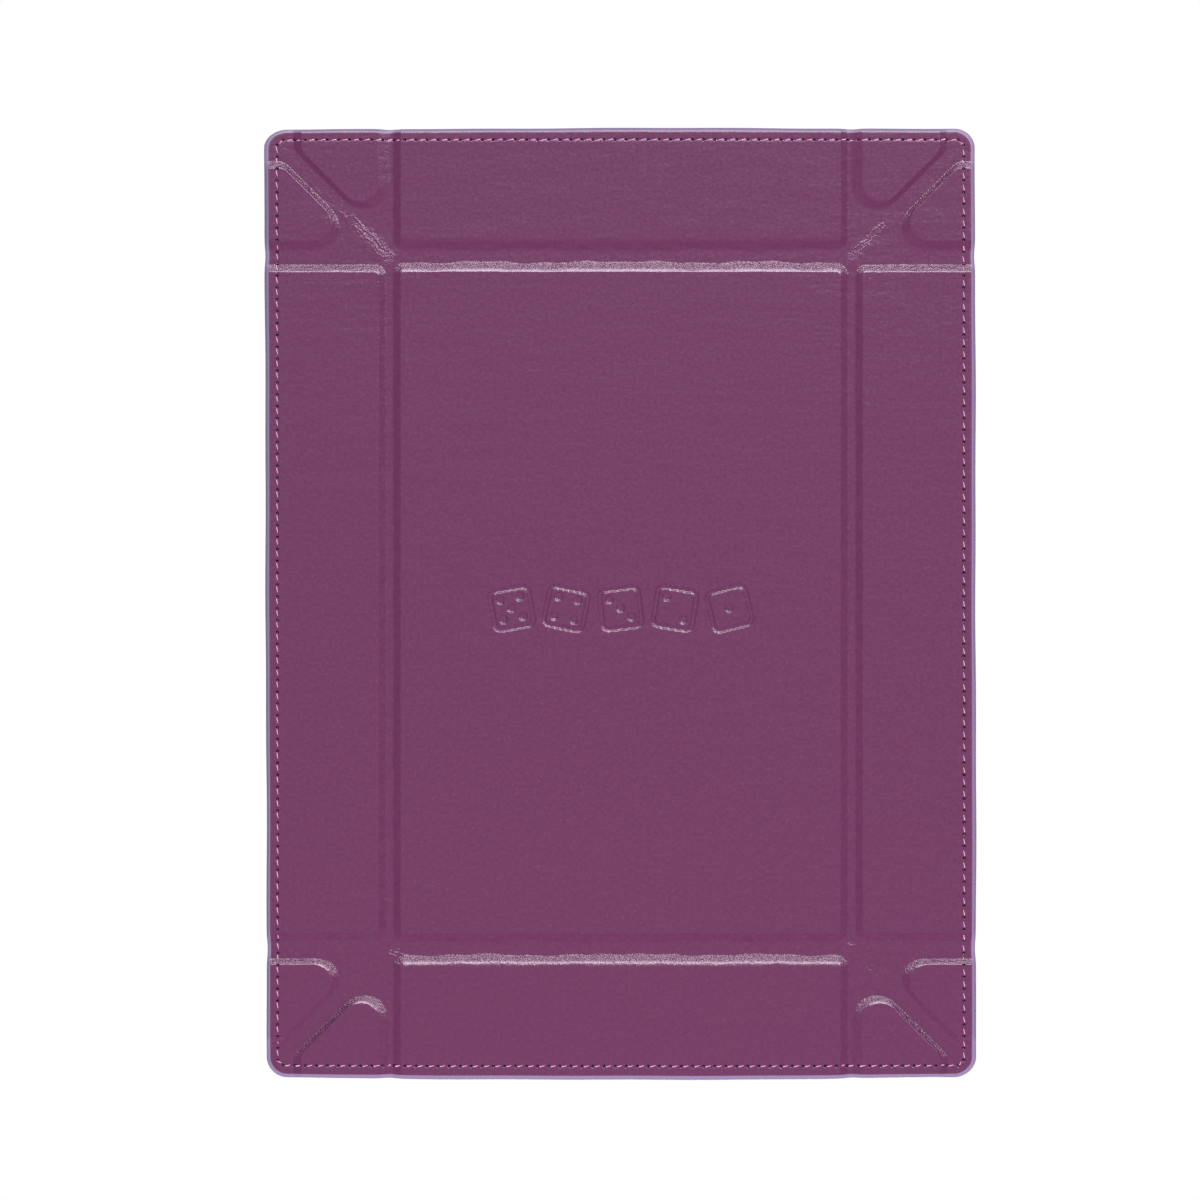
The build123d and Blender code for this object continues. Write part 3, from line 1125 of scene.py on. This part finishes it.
def stitch_points(start, end, height, sink, count=11):
    """Middle line of one stitch, slanting across the stitch line and diving at both holes."""
    t = np.linspace(0, 1, count)
    run = np.array(end) - np.array(start)
    length = np.linalg.norm(run)
    beside = np.array([-run[1], run[0]]) / length
    slant = stitch_slant * np.sin((0.5 - t) * math.pi)
    flat = np.array(start) + np.outer(0.1 + 0.68 * t, run) + np.outer(slant, beside)
    x, y = flat[:, 0], flat[:, 1]
    middle = height(start[0] + run[0] * 0.5 + 0 * t, start[1] + run[1] * 0.5 + 0 * t)
    dive = stitch_dive * (unit(1 - t / 0.14) ** 1.5 + unit(1 - (1 - t) / 0.12) ** 1.5)
    moved_x, moved_y = trimmed(x, y)
    return np.stack([moved_x, moved_y, middle + sink * (stitch_lift + dive)], -1)


def stitch_rings(points, sides=12):
    """Rings of a plied thread round its middle line, thicker near its first hole."""
    t = np.linspace(0, 1, len(points))
    along = np.gradient(points, axis=0)
    along /= np.linalg.norm(along, axis=1)[:, None]
    beside = np.cross(along, (0, 0, 1.0))
    beside /= np.linalg.norm(beside, axis=1)[:, None]
    above = np.cross(beside, along)
    angle = np.linspace(0, 2 * math.pi, sides, endpoint=False)
    thick = thread_radius * (1.2 - 0.55 * t) * np.minimum(1, 0.35 + 6 * np.minimum(t, 1 - t))
    lobes = 1 + 0.13 * np.cos(3 * (angle[None, :] - 7 * t[:, None]))
    radius = thick[:, None] * lobes
    return (points[:, None, :]
            + (radius * np.cos(angle))[..., None] * beside[:, None, :]
            + (radius * np.sin(angle))[..., None] * above[:, None, :])


def thread_group(name, stitches):
    """One object that holds these stitches, on the leatherette and on the lining."""
    places, faces = [], []
    for start, end in stitches:
        for height, sink in ((leather_height, 1), (lining_height, -1)):
            rings = stitch_rings(stitch_points(start, end, height, sink))
            faces += tube_faces(sum(len(part) for part in places), *rings.shape[:2])
            places.append(rings.reshape(-1, 3))
    place = np.concatenate(places)
    mesh = mesh_from(name, place, faces)
    attribute(mesh, "rest", "FLOAT_VECTOR", place)
    piece = new_object(name, mesh, thread_finish)
    return piece


def stitch_home(start, end):
    """Which piece a stitch belongs to."""
    x, y = (start[0] + end[0]) / 2, (start[1] + end[1]) / 2
    flank = "right" if x > 0 else "left"
    side = "back" if y > 0 else "front"
    places = [(abs(px) - crease_x, abs(py) - crease_y) for px, py in (start, end)]
    if min(abs(v - u) for u, v in places) < diagonal_offset:
        return f"{side}_{flank}_corner"
    if abs(y) > abs(x) + crease_y - crease_x:
        reach = max(u for u, _ in places)
        return f"{side}_wall" if reach < ear_bend_start else f"{side}_flap_{flank}"
    return f"{flank}_wall" if abs(y) < side_wall_end else f"{flank}_flap_{side}"


def make_stitches():
    holes = hole_loop()
    groups = {}
    for end, start in zip(holes, holes[1:] + holes[:1]):
        groups.setdefault(stitch_home(start, end), []).append((start, end))
    pieces = {home: thread_group(f"stitches_{home}", stitches) for home, stitches in groups.items()}
    for end, flank, sx, sy in CORNERS:
        pinch_bend()(pieces.pop(f"{end}_{flank}_corner"))
        beside_wall = ear_bend()(pieces.pop(f"{end}_flap_{flank}"))
        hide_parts(f"thread_{end}_flap_{flank}")
    for body, piece in pieces.items():
        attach(piece, body)
        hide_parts(f"thread_{body.removesuffix('_wall')}")


def finish_cad_nodes():
    """Boards and magnets keep their CAD shapes and get their own finishes."""
    finishes = {"board": greyboard(), "magnet": nickel(), "cover": leather_finish}
    for name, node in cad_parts.items():
        node.data.materials.clear()
        node.data.materials.append(finishes.get(name.split("_")[0], lining_finish))


set_camera()
set_world()
set_lights()
set_floor()
leather_finish, lining_finish, thread_finish = leatherette(), lining(), thread()
finish_cad_nodes()
make_skins()
make_stitches()
for corner in CORNERS:
    make_corner_filler(*corner)
    make_crease_filler(*corner)
